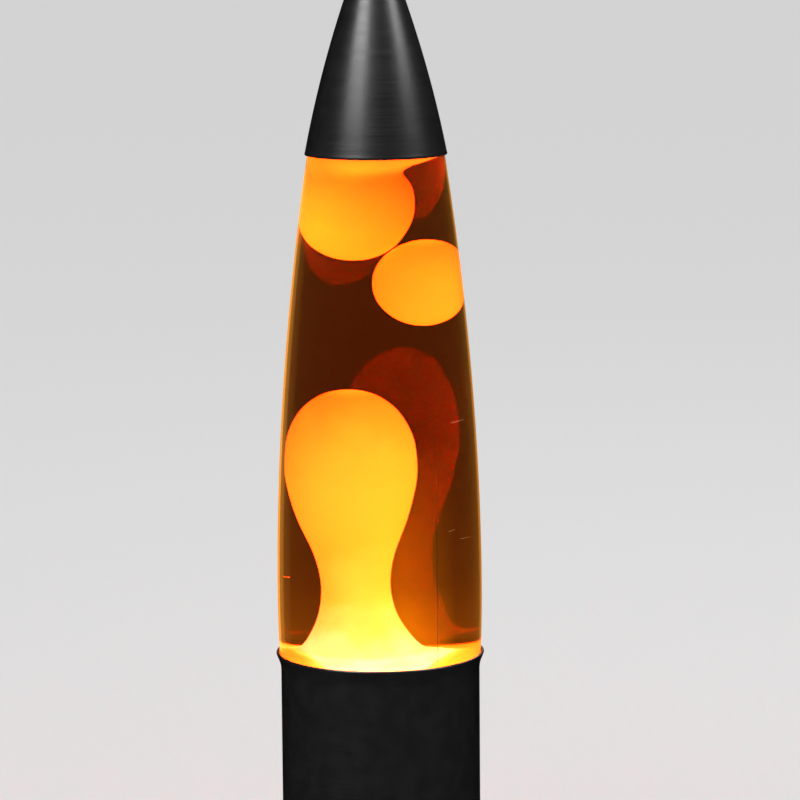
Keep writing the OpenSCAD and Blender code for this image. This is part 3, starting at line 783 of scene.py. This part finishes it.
def bulb():
    wall = 0.7 * MM
    side = []
    for u in steps(0, 1, 24):
        r = BULB_NECK_R + (BULB_R - BULB_NECK_R) * (1 - math.cos(math.pi * u)) / 2
        side.append((r, BULB_NECK_Z + (BULB_WIDE_Z - BULB_NECK_Z) * u))
    half = BULB_TOP_Z - BULB_WIDE_Z
    dome = [(BULB_R * math.cos(a), BULB_WIDE_Z + half * math.sin(a)) for a in steps(0.06, math.pi / 2, 20)]
    dome[-1] = (0, BULB_TOP_Z)
    outer = side + dome
    inner = [(max(r - wall, 0), z - wall if r < BULB_R / 2 and z > BULB_WIDE_Z else z)
             for r, z in reversed(outer)]
    obj = new_object("bulb", *turned(outer + inner))
    dress(obj, MATERIALS["reflector"], bulb_dome_material())
    for face in obj.data.polygons:
        face.material_index = 1 if face.center[2] > BULB_WIDE_Z else 0
    return obj


def screw_shell():
    """Thin sleeve rolled into a round screw thread."""
    pitch, depth = 2.8 * MM, 0.5 * MM
    bottom, top = low("bulb_screw_shell")[2], high("bulb_screw_shell")[2]
    crest = high("bulb_screw_shell")[0]
    inside = crest - 1.4 * MM
    fade = 1.5 * MM
    thread_top = top - 2.5 * MM
    rings = [ring(inside, bottom, sides=64)]
    for z in steps(bottom, thread_top, 90):
        amount = min(1, (z - bottom) / fade, (thread_top - z) / fade)
        rings.append(ring(crest - depth, z, sides=64,
                          shape=lambda a: amount * depth * math.cos(2 * math.pi * z / pitch - a)))
    collar_r = BULB_NECK_R + 0.3 * MM
    collar = ((collar_r, top - 1.5 * MM), (collar_r, top), (BULB_NECK_R - 0.1 * MM, top),
              (inside, BULB_NECK_Z))
    rings += [ring(r, z, sides=64) for r, z in collar]
    return new_object("bulb_shell", *loft_mesh(rings, closed=True), angle=60)


# ---- The model ---------------------------------------------------------------------------------------

def put(obj, body, slot, nodes, *mats):
    """Gives a piece its finish and its body, and hides the CAD nodes that it stands for."""
    if mats:
        dress(obj, *mats)
    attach(obj, body)
    if nodes:
        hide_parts(*nodes)
    return obj


# These wax materials paint the wax's glow, its shade and its rim highlights into its emission.
WAX_COLUMN = wax_material("wax_column", (0.75, -0.2, -0.5), 0.5, pool=0.38, back=2.0)
WAX_ROUND = wax_material("wax_round", (0.05, -0.3, -1.0), 0.58)
WAX_TOP = wax_material("wax_top", (-0.5, -0.1, -0.85), 0.8)

glass = put(bottle(), "bottle", "bottle_glass", ["bottle_glass"],
            glass_outer_material(), glass_inner_material())
for face in glass.data.polygons:
    x, y, z = face.center
    wetted = BOTTLE_FLOOR_Z + 4 * MM < z < LIQUID_TOP_Z
    face.material_index = 1 if wetted and math.hypot(x, y) < bottle_r(z) - GLASS_T * 0.6 else 0

put(liquid(), "bottle", "liquid", ["bottle_liquid"], liquid_material())
put(column(), "bottle", "wax", ["wax_column"], WAX_COLUMN)
put(round_blob(), "round_blob", "wax", ["wax_round_blob"], WAX_ROUND)
put(droplets(), "bottle", "wax", [], MATERIALS["droplet"])
put(scratches(), "bottle", "bottle_glass", [], MATERIALS["scratch"])
put(seams(), "bottle", "bottle_glass", [], MATERIALS["seam"])
wax_top = top_wax()
dress(wax_top, WAX_TOP)
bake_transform(wax_top)
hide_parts("wax_top_blob", "wax_top_mass")

put(crown(), "bottle", "crown_tin", ["crown_cap"], MATERIALS["crown_tin"])
put(cap(), "cap", "black_metal", ["top_cap"], MATERIALS["black_metal"])
put(base(), "base", "black_metal", ["base_shell"], MATERIALS["black_metal"])
put(grommet(), "base", "grommet_plastic", ["cord_inlet"], MATERIALS["grommet"])
put(feet(), "base", "foot_rubber", ["rubber_feet"], MATERIALS["foot_rubber"])
put(seat(), "base", "zinc_steel", ["bottle_seat"], MATERIALS["seat_steel"])
put(gasket(), "base", "gasket_silicone", ["seat_gasket"], MATERIALS["gasket"])
put(bulb(), "bulb", "bulb_glass", ["bulb_glass"])
put(screw_shell(), "bulb", "bulb_metal", ["bulb_screw_shell"], MATERIALS["bulb_nickel"])

CARRIED = {
    "bottom_plate": "plate_metal", "plate_screws": "zinc_steel", "bracket_screws": "zinc_steel",
    "holder_bracket": "zinc_steel", "holder_body": "holder_plastic", "holder_screw_shell": "brass",
    "holder_contact": "brass", "terminal_screws": "brass", "bulb_insulator": "insulator",
    "bulb_contact": "solder", "bulb_stem": "stem_glass", "bulb_filament": "filament",
    "heat_coil": "coil_steel", "crown_liner": "liner",
}
for name, finish in CARRIED.items():
    dress(frame["nodes"][name], MATERIALS[finish])


# ---- Stage, light and camera ---------------------------------------------------------------------

RIM_LIGHT = (1.0, 0.4, 0.06)


def floor():
    half = 15
    corners = [(-half, -half, 0), (half, -half, 0), (half, half, 0), (-half, half, 0)]
    obj = new_object("floor", corners, [(0, 1, 2, 3)])
    dress(obj, material("floor", Base_Color=(0.8, 0.795, 0.785, 1), Roughness=0.8)[0])
    obj.visible_glossy = False


def light(name, kind, azimuth, elevation, distance, **values):
    """A light aimed at the lamp. Azimuth 0 is in front, and it grows to the right."""
    data = bpy.data.lights.new(name, kind)
    for key, value in values.items():
        setattr(data, key, value)
    a, e = math.radians(azimuth), math.radians(elevation)
    target = Vector((0, 0, 0.2))
    obj = bpy.data.objects.new(name, data)
    towards = Vector((math.sin(a) * math.cos(e), -math.cos(a) * math.cos(e), math.sin(e)))
    obj.location = target + distance * towards
    obj.rotation_euler = (target - obj.location).to_track_quat("-Z", "Y").to_euler()
    obj.visible_camera = False
    bpy.context.collection.objects.link(obj)
    return obj


def softbox(name, azimuth, elevation, distance, width, height, power, colour=(1, 1, 1)):
    return light(name, "AREA", azimuth, elevation, distance, shape="RECTANGLE", size=width, size_y=height,
                 energy=power, color=colour)


def world():
    made = bpy.data.worlds.new("studio")
    bpy.context.scene.world = made
    made.use_nodes = True
    back = made.node_tree.nodes["Background"]
    back.inputs["Color"].default_value = (0.98, 0.98, 1.0, 1)
    back.inputs["Strength"].default_value = 0.6
    made.cycles_visibility.glossy = False


def camera():
    data = bpy.data.cameras.new("camera")
    data.sensor_width = 36
    data.lens = 175.5
    data.clip_end = 50
    obj = bpy.data.objects.new("camera", data)
    obj.location = (0, -1.425, 0.424)
    yaw, pitch, roll = (math.radians(angle) for angle in (0.326, 8.5, 0.46))
    obj.rotation_euler = (Matrix.Rotation(-yaw, 3, "Z") @ Matrix.Rotation(math.pi / 2 - pitch, 3, "X")
                          @ Matrix.Rotation(-roll, 3, "Z")).to_euler()
    bpy.context.collection.objects.link(obj)
    bpy.context.scene.camera = obj


floor()
world()
camera()
light("overhead", "SUN", -35, 62, 2, energy=1.1, angle=math.radians(70))

# Broad softboxes that only show as highlights
for obj in (softbox("front", -42, 42, 1.8, 1.0, 1.0, 26), softbox("right", 75, 44, 1.8, 0.8, 1.0, 22),
            softbox("back", 165, 44, 1.8, 1.0, 1.0, 26)):
    obj.visible_diffuse = False
    obj.visible_transmission = False

# Low warm lights from behind, which only draw the glowing edges of the glass
glass_only = bpy.data.collections.new("glass_only")
glass_only.objects.link(glass)
for obj in (softbox("left_glow_1", -165, 4, 1.6, 0.7, 1.3, 4.4, RIM_LIGHT),
            softbox("left_glow_2", -150, 4, 1.6, 0.7, 1.3, 2.0, RIM_LIGHT),
            softbox("left_glow_3", -134, 4, 1.6, 0.8, 1.3, 0.8, RIM_LIGHT),
            softbox("right_glow", 163, 4, 1.6, 0.5, 1.3, 1.4, RIM_LIGHT)):
    obj.light_linking.receiver_collection = glass_only
    obj.visible_transmission = False
bpy.context.scene.view_settings.view_transform = "Standard"
